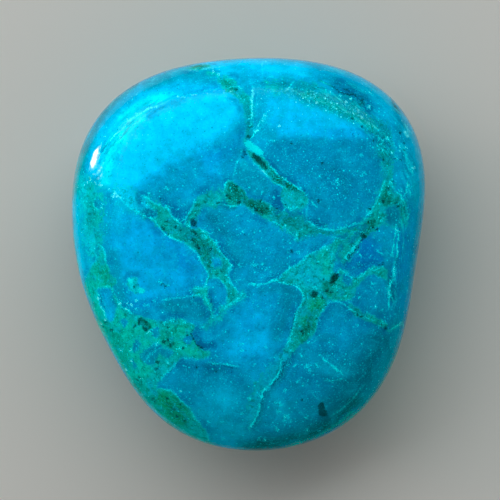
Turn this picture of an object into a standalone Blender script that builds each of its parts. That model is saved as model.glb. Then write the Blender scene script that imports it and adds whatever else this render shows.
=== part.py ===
"""A tumbled and polished chrysocolla stone: one piece of natural blue-green stone, hand sized.

Metres, +Z up. The stone lies on a flat spot of its underside, at height 0, and its outline is
centred on the origin. Seen from above, +Y is the broad end, -Y the narrower rounded end, and +X
the side with the worn shoulder.
"""

import math

import bmesh
import bpy
import numpy as np

MM = 0.001

# Driving dimensions, in millimetres.
GIRTH_HEIGHT = 7.3  # height of the widest section above the flat spot
CROWN = 8.9  # from the widest section up to the top of the face
KEEL = 7.9  # how far the underside would reach below it without the flat spot

# The widest section, as points round it from the stone's middle, anticlockwise from the right side.
GIRTH = (
    (17.6, 5.9), (17.2, 10.7), (15.7, 14.0), (13.2, 16.5), (9.7, 18.5),
    (5.2, 19.4), (-0.1, 19.6), (-4.9, 19.2), (-9.3, 17.9), (-13.2, 15.7),
    (-15.8, 12.6), (-17.2, 8.9), (-17.6, 4.9), (-17.4, 0.4), (-16.4, -3.6),
    (-14.4, -8.4), (-11.4, -13.5), (-7.9, -17.1), (-3.5, -19.1), (1.7, -19.6),
    (5.8, -18.9), (9.9, -16.7), (13.1, -13.5), (14.8, -10.0), (16.0, -5.8),
    (16.7, -1.1), (17.4, 2.4),
)  # fmt: skip
WAVES = 7  # harmonics of the closed curve through those points

# How the face, the underside and the wall between them curve.
FACE_FALL = 0.36  # share of the crown that the face has dropped by at the wall
KEEL_FALL = 0.42  # the same for the underside
WALL_LEAN = 0.26  # share of the radius that the wall leans in by at the height of the crown
LEFT_LEAN = 0.18  # what the left wall leans in by on top of that
LEFT_SIDE = math.radians(200)
SHOULDER = 6.5  # the higher, the tighter the bend between the face and the wall
CRISP_SHOULDER = 8.0  # what the two crisp shoulders, upper left and right, add to that
CRISP_SIDES = (math.radians(0), math.radians(130))
SIDE_SPREAD = 0.9

# Broad swells of the face: middle, height and half width.
SWELLS = (
    ((-8.0, 9.0), 0.22, 6.0),
    ((8.5, 10.0), 0.22, 5.5),
    ((2.0, -9.0), 0.18, 7.5),
)
# Shallow grooves that the polish has left along the soft cracks: route, depth and half width.
CRACKS = (
    (((-0.6, 18.5), (-0.1, 14.0), (0.1, 10.6)), 0.16, 1.3),
    (((0.1, 10.6), (4.4, 6.4), (8.6, 2.6)), 0.08, 1.1),
    (((0.1, 10.6), (-5.2, 3.2), (-2.2, -1.6)), 0.07, 1.1),
)
# The open pocket where the cracks meet, a dished chip with two holes in it: middle, half length,
# half width, depth.
POCKET = (
    ((0.75, 9.85), 1.7, 0.95, 0.22),
    ((1.15, 9.1), 1.05, 0.42, 0.42),
    ((-0.35, 9.95), 0.45, 0.45, 0.26),
)
POCKET_TURN = math.radians(-40)

# The grid of faces: cells across the face and the underside, and up the wall.
CELLS_ACROSS = 32
CELLS_UP = 14
FINE_REACH = 2.5  # how far round the pocket the cells are cut finer
FINE_CUTS = 5
FARTHEST = 30.0  # where the search for the surface ends, in millimetres
HALVINGS = 48
FLAT_BLEND = 0.1  # height over which the underside eases into the flat spot


def harmonics(azimuth):
    turns = np.outer(azimuth, np.arange(1, WAVES + 1))
    return np.hstack([np.ones((len(azimuth), 1)), np.cos(turns), np.sin(turns)])


def girth_curve():
    """The constant, cosine and sine terms of the closed curve through GIRTH."""
    points = np.array(GIRTH)
    azimuth = np.arctan2(points[:, 1], points[:, 0])
    return np.linalg.lstsq(harmonics(azimuth), np.hypot(*points.T), rcond=None)[0]


def near_side(azimuth, side):
    """1 at that side of the stone, fading to 0 away from it."""
    return np.exp((np.cos(azimuth - side) - 1) / SIDE_SPREAD**2)


def distance_to_route(x, y, route):
    """The shortest distance from each point to a route of straight stretches."""
    found = np.full(x.shape, np.inf)
    for (x0, y0), (x1, y1) in zip(route, route[1:]):
        run_x, run_y = x1 - x0, y1 - y0
        along = ((x - x0) * run_x + (y - y0) * run_y) / (run_x**2 + run_y**2)
        along = np.clip(along, 0, 1)
        found = np.minimum(found, np.hypot(x - x0 - along * run_x, y - y0 - along * run_y))
    return found


def relief(x, y):
    """How far the face stands above its plain curve: swells up, grooves and the pocket down."""
    rise = np.zeros(x.shape)
    for (x0, y0), height, half in SWELLS:
        rise += height * np.exp(-((x - x0) ** 2 + (y - y0) ** 2) / half**2)
    for route, depth, half in CRACKS:
        rise -= depth * np.exp(-((distance_to_route(x, y, route) / half) ** 2))
    for (x0, y0), half_length, half_width, depth in POCKET:
        along = (x - x0) * math.cos(POCKET_TURN) + (y - y0) * math.sin(POCKET_TURN)
        across = (y - y0) * math.cos(POCKET_TURN) - (x - x0) * math.sin(POCKET_TURN)
        rise -= depth * np.exp(-((along / half_length) ** 2) - (across / half_width) ** 2)
    return rise


def fullness(x, y, up, girth):
    """Below 1 inside the stone, 1 on its surface and above 1 outside. up is from the widest section."""
    azimuth = np.arctan2(y, x)
    reach = np.hypot(x, y) / (harmonics(azimuth) @ girth)
    height = np.where(up > 0, up / CROWN, up / KEEL)
    lean = WALL_LEAN + LEFT_LEAN * near_side(azimuth, LEFT_SIDE)
    wall = reach * (1 + lean * height**2)
    face = (up - relief(x, y)) / CROWN + FACE_FALL * reach**2
    keel = -up / KEEL + KEEL_FALL * reach**2
    bend = SHOULDER + CRISP_SHOULDER * sum(near_side(azimuth, side) for side in CRISP_SIDES)
    total = sum(np.maximum(0, side) ** bend for side in (wall, face, keel))
    return total ** (1 / bend)


def surface_points(ways):
    """Where rays from the stone's middle leave it, in millimetres above the flat spot."""
    girth = girth_curve()
    near, far = np.zeros(len(ways)), np.full(len(ways), FARTHEST)
    for _ in range(HALVINGS):
        middle = (near + far) / 2
        inside = fullness(*(ways * middle[:, None]).T, girth) < 1
        near, far = np.where(inside, middle, near), np.where(inside, far, middle)
    points = ways * near[:, None] + (0, 0, GIRTH_HEIGHT)
    over = np.clip(points[:, 2] + FLAT_BLEND, 0, None)
    points[:, 2] = np.where(over < 2 * FLAT_BLEND, over**2 / (4 * FLAT_BLEND), points[:, 2])
    return points


def stone_points(grid):
    """The point of the stone's surface that each corner of the box grid is pushed out to."""
    spread = np.tan(np.array([vertex.co for vertex in grid.verts]) * math.pi / 4)
    half_x, half_y = (np.ptp(np.array(GIRTH), axis=0) / 2).tolist()
    ways = spread * (half_x, half_y, (CROWN + KEEL) / 2)
    return surface_points(ways / np.linalg.norm(ways, axis=1)[:, None])


def box_grid():
    """A box from -1 to 1 whose sides are cut into a grid of four-sided faces."""
    grid = bmesh.new()
    bmesh.ops.create_cube(grid, size=2)
    for axis, cells in enumerate((CELLS_ACROSS, CELLS_ACROSS, CELLS_UP)):
        along = [e for e in grid.edges if abs(e.verts[0].co[axis] - e.verts[1].co[axis]) > 0.5]
        bmesh.ops.subdivide_edges(grid, edges=along, cuts=cells - 1, use_grid_fill=True)
    return grid


def cut_finer_round_pocket(grid):
    from_pocket = stone_points(grid) - (*POCKET[0][0], GIRTH_HEIGHT + CROWN)
    near = np.linalg.norm(from_pocket, axis=1) < FINE_REACH
    chosen = {vertex for vertex, close in zip(grid.verts, near) if close}
    edges = [edge for edge in grid.edges if chosen.issuperset(edge.verts)]
    bmesh.ops.subdivide_edges(grid, edges=edges, cuts=FINE_CUTS, use_grid_fill=True)


def stone_mesh():
    grid = box_grid()
    cut_finer_round_pocket(grid)
    points = stone_points(grid)
    points[:, :2] -= (points[:, :2].max(axis=0) + points[:, :2].min(axis=0)) / 2
    for vertex, point in zip(grid.verts, points * MM):
        vertex.co = point
    mesh = bpy.data.meshes.new("chrysocolla_stone")
    grid.to_mesh(mesh)
    grid.free()
    mesh.shade_smooth()
    return mesh


def polished_chrysocolla():
    material = bpy.data.materials.new("polished_chrysocolla")
    material.use_nodes = True
    surface = material.node_tree.nodes["Principled BSDF"]
    surface.inputs["Base Color"].default_value = (0.005, 0.28, 0.42, 1)
    surface.inputs["Roughness"].default_value = 0.12
    surface.inputs["Metallic"].default_value = 0
    return material


def main():
    for old in list(bpy.data.objects):
        bpy.data.objects.remove(old)
    stone = bpy.data.objects.new("chrysocolla_stone", stone_mesh())
    stone.data.materials.append(polished_chrysocolla())
    bpy.context.scene.collection.objects.link(stone)


main()
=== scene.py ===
"""The looks of a tumbled and polished chrysocolla stone: its fine surface, its blue cells and green
veins, and a plain studio seen from straight above.

Lengths are in millimetres until they reach Blender. The markings of the face are laid out on a grid
of 0.1 mm squares seen from above, X to the right and Y downwards, with the stone's middle at
GRID_MIDDLE. A place on the grid is the place in the photo, whose pixels are taken as 0.1 mm. The rest
of the stone carries a seeded network of the same kind.
"""

import math
from types import SimpleNamespace

import bpy
import numpy as np
from mathutils import Matrix, Vector


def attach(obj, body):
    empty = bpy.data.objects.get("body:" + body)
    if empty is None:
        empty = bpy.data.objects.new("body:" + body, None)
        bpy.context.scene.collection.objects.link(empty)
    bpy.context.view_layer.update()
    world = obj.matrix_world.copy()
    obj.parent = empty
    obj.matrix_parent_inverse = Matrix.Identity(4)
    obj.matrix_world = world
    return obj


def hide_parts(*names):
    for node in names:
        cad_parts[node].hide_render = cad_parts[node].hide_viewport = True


MM = 0.001
GRID = 0.1
GRID_MIDDLE = (248.5, 254.2)

# ---------------------------------------------------------------- the stone's form, as in the CAD
GIRTH_HEIGHT = 7.3
CROWN = 8.9
KEEL = 7.9
GIRTH = (
    (17.6, 5.9), (17.2, 10.7), (15.7, 14.0), (13.2, 16.5), (9.7, 18.5),
    (5.2, 19.4), (-0.1, 19.6), (-4.9, 19.2), (-9.3, 17.9), (-13.2, 15.7),
    (-15.8, 12.6), (-17.2, 8.9), (-17.6, 4.9), (-17.4, 0.4), (-16.4, -3.6),
    (-14.4, -8.4), (-11.4, -13.5), (-7.9, -17.1), (-3.5, -19.1), (1.7, -19.6),
    (5.8, -18.9), (9.9, -16.7), (13.1, -13.5), (14.8, -10.0), (16.0, -5.8),
    (16.7, -1.1), (17.4, 2.4),
)  # fmt: skip
WAVES = 7
FACE_FALL = 0.36
KEEL_FALL = 0.42
WALL_LEAN = 0.26
LEFT_LEAN = 0.18
LEFT_SIDE = math.radians(200)
SHOULDER = 6.5
CRISP_SHOULDER = 8.0
CRISP_SIDES = (math.radians(0), math.radians(130))
SIDE_SPREAD = 0.9
SWELLS = (
    ((-8.0, 9.0), 0.22, 6.0),
    ((8.5, 10.0), 0.22, 5.5),
    ((2.0, -9.0), 0.18, 7.5),
)
CRACKS = (
    (((-0.6, 18.5), (-0.1, 14.0), (0.1, 10.6)), 0.16, 1.3),
    (((0.1, 10.6), (4.4, 6.4), (8.6, 2.6)), 0.08, 1.1),
    (((0.1, 10.6), (-5.2, 3.2), (-2.2, -1.6)), 0.07, 1.1),
)
POCKET = (
    ((0.75, 9.85), 1.7, 0.95, 0.06),
    ((1.15, 9.1), 1.05, 0.42, 0.42),
    ((-0.35, 9.95), 0.45, 0.45, 0.26),
)
POCKET_TURN = math.radians(-40)
FARTHEST = 30.0
HALVINGS = 44
FLAT_BLEND = 0.1

# Cells of the fine surface: across the face, up from the widest section, and down from it.
CELLS_ACROSS = 232
CELLS_UP = 20
CELLS_DOWN = 16
REACH_UP = 6.2  # how steep the corners of the face's grid start, in millimetres
REACH_DOWN = 7.0


def harmonics(azimuth):
    turns = np.outer(azimuth, np.arange(1, WAVES + 1))
    return np.hstack([np.ones((len(azimuth), 1)), np.cos(turns), np.sin(turns)])


def girth_curve():
    points = np.array(GIRTH)
    azimuth = np.arctan2(points[:, 1], points[:, 0])
    return np.linalg.lstsq(harmonics(azimuth), np.hypot(*points.T), rcond=None)[0]


GIRTH_TERMS = girth_curve()


def near_side(azimuth, side):
    return np.exp((np.cos(azimuth - side) - 1) / SIDE_SPREAD**2)


def distance_to_route(x, y, route):
    found = np.full(x.shape, np.inf)
    for (x0, y0), (x1, y1) in zip(route, route[1:]):
        run_x, run_y = x1 - x0, y1 - y0
        along = ((x - x0) * run_x + (y - y0) * run_y) / (run_x**2 + run_y**2)
        along = np.clip(along, 0, 1)
        found = np.minimum(found, np.hypot(x - x0 - along * run_x, y - y0 - along * run_y))
    return found


def relief(x, y):
    """The height of the swellings of the face, less its cracks and its pocket."""
    rise = np.zeros(x.shape)
    for (x0, y0), height, half in SWELLS:
        rise += height * np.exp(-((x - x0) ** 2 + (y - y0) ** 2) / half**2)
    for route, depth, half in CRACKS:
        rise -= depth * np.exp(-((distance_to_route(x, y, route) / half) ** 2))
    for (x0, y0), half_length, half_width, depth in POCKET:
        along = (x - x0) * math.cos(POCKET_TURN) + (y - y0) * math.sin(POCKET_TURN)
        across = (y - y0) * math.cos(POCKET_TURN) - (x - x0) * math.sin(POCKET_TURN)
        rise -= depth * np.exp(-((along / half_length) ** 2) - (across / half_width) ** 2)
    return rise


def fullness(x, y, up):
    """Less than 1 inside the stone, 1 on its surface, up being measured from the widest section."""
    azimuth = np.arctan2(y, x)
    reach = np.hypot(x, y) / (harmonics(azimuth) @ GIRTH_TERMS)
    height = np.where(up > 0, up / CROWN, up / KEEL)
    lean = WALL_LEAN + LEFT_LEAN * near_side(azimuth, LEFT_SIDE)
    wall = reach * (1 + lean * height**2)
    face = (up - relief(x, y)) / CROWN + FACE_FALL * reach**2
    keel = -up / KEEL + KEEL_FALL * reach**2
    bend = SHOULDER + CRISP_SHOULDER * sum(near_side(azimuth, side) for side in CRISP_SIDES)
    total = sum(np.maximum(0, side) ** bend for side in (wall, face, keel))
    return total ** (1 / bend)


def leave_stone(ways):
    """Where rays from the middle of the widest section leave the stone."""
    near, far = np.zeros(len(ways)), np.full(len(ways), FARTHEST)
    for _ in range(HALVINGS):
        middle = (near + far) / 2
        inside = fullness(*(ways * middle[:, None]).T) < 1
        near, far = np.where(inside, middle, near), np.where(inside, far, middle)
    return ways * near[:, None]


# A low arched swelling just outside the crease of the upper left shoulder, too slight for the CAD.
LEDGE_MIDDLE = (-3.15, 3.75)
LEDGE_RADIUS = 13.77
LEDGE_RISE = 0.40
LEDGE_HALF = 0.94
LEDGE_SIDE = math.radians(142)
LEDGE_SPAN = math.radians(38)
LEDGE_FADE = 3.0  # it also dies away over this height above the widest section


def ledge(x, y, up):
    """How far the swelling lifts the surface."""
    x, y = x - LEDGE_MIDDLE[0], y - LEDGE_MIDDLE[1]
    across = (np.hypot(x, y) - LEDGE_RADIUS) / LEDGE_HALF
    along = (1 - np.cos(np.arctan2(y, x) - LEDGE_SIDE)) / (1 - math.cos(LEDGE_SPAN))
    above = np.clip(up / LEDGE_FADE, 0, 1)
    return LEDGE_RISE * np.exp(-(across**2) - along**2) * above**2 * (3 - 2 * above)


def surface_points(ways):
    points = leave_stone(ways)
    points += ways * ledge(*points.T)[:, None]
    points[:, 2] += GIRTH_HEIGHT
    over = np.clip(points[:, 2] + FLAT_BLEND, 0, None)
    points[:, 2] = np.where(over < 2 * FLAT_BLEND, over**2 / (4 * FLAT_BLEND), points[:, 2])
    return points


def box_faces():
    """The faces of a box's grid as corner triples: fine above the middle, twice as coarse below."""
    across, top, middle = CELLS_ACROSS, CELLS_DOWN + CELLS_UP, CELLS_DOWN
    steps = np.arange(across)
    full, none = np.full(across, across), np.zeros(across, int)
    rim = np.array(
        [np.r_[steps, full, across - steps, none], np.r_[none, steps, full, across - steps]]
    ).T  # anticlockwise round the box

    def rim_cell(first, second, low, high):
        return [(*rim[first], low), (*rim[second], low), (*rim[second], high), (*rim[first], high)]

    faces = []
    for i in range(across):
        for j in range(across):
            faces.append([(i, j, top), (i + 1, j, top), (i + 1, j + 1, top), (i, j + 1, top)])
    for i in range(0, across, 2):
        for j in range(0, across, 2):
            faces.append([(i, j, 0), (i, j + 2, 0), (i + 2, j + 2, 0), (i + 2, j, 0)])
    for side in range(4 * across):
        after = (side + 1) % (4 * across)
        for level in range(middle, top):
            faces.append(rim_cell(side, after, level, level + 1))
    for side in range(0, 4 * across, 2):
        after = (side + 2) % (4 * across)
        for level in range(middle - 1):
            faces.append(rim_cell(side, after, level, level + 1))
        wide = rim_cell(side, after, middle - 1, middle)
        faces.append([*wide[:3], (*rim[side + 1], middle), wide[3]])
    return faces


def box_ways(corners):
    """The direction in which each corner of the box's grid is pushed out to the surface."""
    half_x, half_y = (np.ptp(np.array(GIRTH), axis=0) / 2).tolist()
    i, j, level = corners.T
    up = level >= CELLS_DOWN
    rows = np.where(up, CELLS_UP, CELLS_DOWN)
    box = np.array([2 * i / CELLS_ACROSS - 1, 2 * j / CELLS_ACROSS - 1, (level - CELLS_DOWN) / rows])
    ways = np.tan(box.T * math.pi / 4) * (half_x, half_y, 1)
    ways[:, 2] *= np.where(up, REACH_UP, REACH_DOWN)
    return ways / np.linalg.norm(ways, axis=1)[:, None]


# ---------------------------------------------------------------- the markings of the face
# Every shape is a row of "x,y" corners on the 0.1 mm grid. A closed patch has a half width of 0.

# The paints of this stone (sRGB). Every coat below uses one of them.
PAINTS = {
    "ice": (8, 230, 234),
    "sky": (5, 190, 238),
    "glacier": (8, 182, 216),
    "azure": (5, 166, 218),
    "lagoon": (6, 160, 190),
    "blue": (5, 150, 190),
    "cerulean": (6, 130, 166),
    "cobalt": (5, 118, 178),
    "slate": (6, 126, 150),
    "navy": (5, 92, 136),
    "dusk": (6, 98, 122),
    "shade": (8, 70, 80),
    "ink": (10, 40, 42),
    "aqua": (7, 182, 194),
    "sea": (7, 174, 148),
    "turquoise": (7, 166, 168),
    "verdigris": (6, 156, 146),
    "teal": (6, 136, 140),
    "petrol": (5, 108, 128),
    "jade": (7, 138, 112),
    "leaf": (6, 154, 110),
    "olive": (8, 134, 80),
    "moss": (8, 108, 90),
    "bottle": (8, 84, 62),
}


def setting(word):
    return PAINTS[word] if word in PAINTS else float(word)


def entries(text):
    """Rows of "settings: corners" as tuples; a row without settings goes on with the last corners."""
    found = []
    for row in text.split("\n"):
        if ":" in row:
            settings, corners = row.split(":")
            found.append((*map(setting, settings.split()), corners))
        elif row and not row.startswith("#"):
            found[-1] = (*found[-1][:-1], found[-1][-1] + row)
    return found


# The green of the veins. Softness of the edge, half width or 0 for a closed patch: corners
GREEN_SHAPES = entries("""
# the slanting vein left of the middle, with its faint start at the rim
4.5 0: 108,186 125,186 138,193 150,200 160,206 169,210 173,218 163,228 153,221 143,216 133,212 120,202
1.2 0: 141,195 150,200 160,206 169,210 173,218 180,221 184,226 190,230 199,228 206,231 210,236 215,241
    218,249 222,255 228,260 231,265 228,272 228,276 231,282 234,288 240,294 243,296 238,299 230,304
    224,307 228,298 228,290 224,283 218,278 210,278 208,285 207,281 209,275 206,268 203,263 200,256
    195,250 190,246 186,243 178,240 174,240 168,235 160,228 153,219 147,210
1.6 0: 197,199 203,194 212,192 220,193 222,199 214,204 205,206 200,210 197,218 196,226 190,230 184,228
    186,218 192,210 194,205
4.0 0: 205,207 210,193 222,187 228,196 227,206 216,207
2.0 2.2: 206,288 205,296 208,302 212,310 214,317
2.6 3.0: 243,295 235,300 228,305 222,310 220,318 214,320 207,326
1.5 0: 191,289 199,286 206,289 206,294 199,295 194,296
# the olive band and what joins it to the pit and the right
1.5 0: 224,186 228,180 233,181 238,186 244,190 248,197 252,200 262,200 268,203 272,207 274,214 271,218
    264,219 257,215 250,210 243,205 235,206 226,204 225,196 223,190
1.3 0: 245,149 252,152 262,157 268,162 272,168 278,175 285,180 292,184 298,189 304,193 308,200 306,207
    297,211 288,211 282,207 280,198 282,190 281,186 275,184 268,178 262,170 252,162
3.2 0: 270,206 281,211 296,212 305,220 312,225 325,229 340,229 352,225 360,222 358,230 346,236 330,235
    318,235 305,237 297,241 290,233 275,223 264,219
# down from the notch at the top
2.4 0: 235,90 243,90 250,97 254,105 253,118 252,130 250,140 247,147 244,142 246,132 246,120 243,108
    238,100
1.6 0: 183,68 192,63 205,63 213,66 205,69 195,71
1.8 0: 221,77 232,78 238,84 239,95 228,95 222,88
2.5 1.6: 208,72 218,76 224,86 236,96
2.5 1.5: 165,71 178,68 192,66
# the speckled band at the upper right and the long vein below it
3.0 0: 291,84 305,83 320,87 335,95 350,97 361,104 363,111 373,117 384,122 389,131 392,142 393,152 392,168
    384,172 380,160 376,150 375,140 368,132 361,125 352,121 345,120 335,115 320,108 308,105 298,99 290,96
5.0 0: 266,82 280,80 292,82 292,96 280,92 268,92
3.0 0: 378,148 390,152 393,168 390,180 393,190 402,196 407,205 409,215 404,225 397,228 388,224 378,227
    372,233 364,237 358,245 352,255 347,263 340,262 338,254 345,244 352,236 358,228 362,220 368,212
    374,202 380,190 383,178
# the large pale patch and the vein that runs down from it
1.3 0: 270,281 276,279 282,277 283,273 287,270 290,267 295,267 300,262 305,257 312,253 320,250 326,245
    332,242 341,238 338,248 335,256 334,264 332,272 338,276 346,279 356,286 356,292 352,299 344,301
    338,300 333,301 328,300 325,308 320,313 316,325 313,335 305,342 298,346 293,352 288,358 283,360
    281,352 286,343 290,335 292,325 294,315 299,306 303,298 302,291 298,287 292,284 283,283
4.0 0: 284,350 290,354 284,361 281,370 273,381 267,388 262,393 261,400 258,412 253,425 249,430 245,424
    248,410 250,398 255,386 262,376 271,364
1.4 0: 338,266 344,270 350,275 356,278 362,273 368,268 376,265 386,269 387,280 381,277 374,273 368,275
    362,280 358,286 350,292 342,292 338,284
1.4 0: 346,302 356,307 361,312 370,314 380,319 389,326 384,328 378,325 368,321 360,318 353,314
2.0 1.0: 388,330 395,327 403,323
2.2 1.8: 336,240 342,244 352,232 360,224
# the green left rim
5.0 0: 78,176 90,178 100,188 105,204 104,222 101,240 104,250 96,262 88,256 84,238 80,215
1.3 0: 99,256 103,247 106,253 109,268 114,277 118,277 116,284 113,289 115,296 119,301 122,306 128,310
    135,314 145,316 152,320 158,320 166,321 170,318 178,318 188,321 196,326 193,329 191,333 194,338
    198,343 204,349 212,352 208,358 200,359 190,358 184,356 178,361 172,367 166,373 162,378 158,384
    157,388 161,388 168,389 172,389 176,395 182,400 186,405 191,408 193,412 196,420 203,425 207,432
    209,440 203,462 150,440 120,405 92,365 72,320 74,296 84,280 92,268
1.4 0: 128,277 133,278 138,277 138,286 143,289 146,289 144,293 137,293 131,290 127,285
1.5 1.1: 352,412 340,423 325,433 308,441 290,446
""")
# Blue windows inside the green, as closed patches. Softness of the edge: corners
BLUE_WINDOWS = entries("""
1.2: 144,209 152,208 158,212 158,218 150,219 146,215
1.2: 190,221 195,219 198,223 198,229 192,230
1.6: 212,257 219,256 223,262 221,268 213,268
1.2: 97,289 101,287 108,287 114,290 115,297 118,305 116,313 115,320 112,323 108,320 105,312 101,305 99,296
1.2: 121,319 129,318 128,324 125,328 122,324
1.2: 138,339 142,343 139,349 134,353 132,349 134,344
1.2: 132,357 135,361 137,366 135,368 133,364
1.4: 142,352 150,347 156,342 160,342 164,347 173,349 174,353 170,357 164,356 160,352 157,358 155,364
    150,366 144,362 142,357
1.4: 151,331 155,327 160,327 161,334 157,339 153,336
1.4: 342,273 349,272 353,277 352,284 345,286 342,281
1.8: 386,206 394,204 400,210 401,220 396,227 388,226 384,217
1.6: 184,337 190,334 193,338 190,343 185,342
1.5: 94,200 98,198 103,202 102,211 97,209
""")
# Painted in order over the stone's own blue. Paint, strength, softness, half width: corners
# painted shade along the bottom and lower right rim, in the next three coats
# painted shade on the lower right side, away from the light
# painted shade, the blue darker along edges of the green veins
# the cell at the upper right and its rim, with a painted reflection of the bright sky above a sharp edge
# and the blue painted deeper below it, where that reflection ends
# the large cell at the upper left and the rim round it, its bright part a painted reflection of the
# bright sky and its two pale bands along the crease painted glare
BLUE_PAINT = entries("""
# the large cell at the upper left and the rim round it
sky 0.85 7 0: 84,170 96,130 130,98 180,86 242,92 238,124 215,140 190,155 165,170 146,190 112,186
blue 0.85 6 6: 80,190 83,165 94,134 114,107 140,87 168,74
ice 0.85 4 3: 122,119 136,107 150,101 164,98
ice 0.80 5 5: 106,182 109,162 117,146 128,131 140,119
cobalt 0.65 4 3: 150,117 162,108 178,101 196,93 222,90
teal 0.85 3 4: 78,196 79,172 85,150
petrol 0.80 3 4: 85,150 95,126 110,104 132,86
sky 0.85 6 7: 178,72 215,66 260,66 300,72
slate 0.80 6 6: 150,84 178,74 210,76
cobalt 0.60 5 6: 210,158 232,150
cerulean 0.60 6 8: 152,184 168,196 184,210
azure 0.60 8 9: 204,150 214,172
sky 0.85 5 6: 118,190 134,196
# the cell at the upper right, bright above a sharp edge and deep below it, and its rim
azure 0.85 4 0: 262,98 300,103 340,120 372,137 340,140 300,137 264,141
cerulean 0.85 4 0: 262,141 300,138 340,141 380,140 383,176 366,210 342,226 312,220 302,190 276,166
blue 0.60 9 9: 290,176 318,196 345,214
cerulean 0.80 5 6: 262,88 260,104 262,126 272,136
navy 0.80 5 4: 268,160 278,172 290,182
blue 0.80 8 8: 330,80 365,100 392,128 404,165 408,200
navy 0.95 4 8: 338,85 354,94 366,107
cobalt 0.75 8 11: 408,214 406,250 402,290 398,320
petrol 0.70 4 3: 421,215 418,255 412,290
shade 0.80 3 2.5: 394,102 398,112
# the cells on the left, the middle and the right
azure 0.90 8 0: 106,224 150,214 186,246 203,263 206,284 160,300 126,300 113,270
cobalt 0.60 7 0: 150,222 176,242 196,262 204,276 178,272 158,250
slate 0.75 6 7: 114,256 117,276 120,296
cobalt 0.75 4 4: 128,304 142,305 156,302
slate 0.80 4 0: 160,301 192,297 206,294 212,311 214,318 204,323 188,320 170,318
glacier 0.85 4 4: 78,198 76,235 79,268 84,290
glacier 0.70 4 4: 96,238 98,256 90,272
blue 0.80 8 0: 208,208 250,214 292,236 298,262 284,278 240,292 232,262 214,238
slate 0.70 8 7: 212,216 228,238 238,262
slate 0.75 3 0: 240,160 252,164 262,174 270,184 268,198 252,196 240,184 234,176
navy 0.85 2 0: 272,190 280,190 281,200 282,212 274,214 271,204
slate 0.80 3 0: 338,234 352,232 354,240 342,258 334,260 333,245
cobalt 0.92 2 0: 350,249 358,240 363,234 372,236 384,250 385,262 370,268 360,276 350,274 343,268
cerulean 0.80 4 0: 352,300 356,290 368,276 382,284 388,300 386,322 366,314
dusk 0.85 2.5 0: 386,206 394,204 400,210 401,220 396,227 388,226 384,217
dusk 0.75 4 4: 384,268 390,284 392,298
azure 0.80 3 5: 106,292 112,314
slate 0.85 5 0: 128,340 144,338 150,326 162,330 168,345 176,356 150,368 130,366
slate 0.80 3 4: 97,203 99,209
# the lower cells and their clouds
azure 0.95 18 17: 262,318 248,352
sky 0.70 12 10: 240,344 266,342
slate 0.75 7 7: 290,296 284,318 276,336
cerulean 0.80 7 0: 165,392 176,370 190,360 215,364 245,368 252,390 246,425 225,432 205,428 190,405
glacier 0.85 15 13: 222,396 230,404
glacier 0.75 7 6: 200,412 226,429 240,431
cerulean 0.75 18 0: 330,306 378,322 404,300 408,330 385,385 340,425 300,438 285,400 300,350
dusk 0.92 18 0: 372,330 402,318 392,352 372,385 345,412 318,424 335,385
blue 0.75 12 12: 336,318 342,338
lagoon 0.80 5 5: 323,364 334,369 343,372
dusk 0.70 4 2: 322,376 332,381 346,380
lagoon 0.60 7 8: 302,352 322,366
glacier 0.75 7 6: 266,384 279,402 285,416
shade 0.88 8 8: 246,449 264,445 300,438 334,424 356,402
ink 0.70 5 3: 258,444 284,442 308,436 330,426
petrol 0.70 8 5: 362,408 384,380 398,350
# the blue darkens where a green vein dips under it
navy 0.85 3 4: 197,328 197,338 203,346 213,344
navy 0.75 3 2.5: 209,292 212,302 216,310
navy 0.70 4 3: 180,366 196,364 215,368 232,369
navy 0.75 3 3: 303,216 312,222 324,226
slate 0.65 5 4: 262,290 284,287 296,292 300,300
dusk 0.70 4 4: 292,352 284,366 276,380 268,392
dusk 0.60 4 4: 264,396 260,412 254,426
navy 0.75 5 4: 217,240 226,254 234,262
navy 0.60 4 3: 160,198 172,206 186,216
navy 0.80 3 4: 174,213 180,219 183,224
navy 0.70 3 2.5: 346,306 358,316 376,324
navy 0.90 2.5 0: 379,323 388,324 390,330 384,334
dusk 0.60 4 3: 112,296 120,308 134,316
dusk 0.80 3 5: 145,213 156,214
petrol 0.85 3 4: 226,205 234,206
""")
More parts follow.
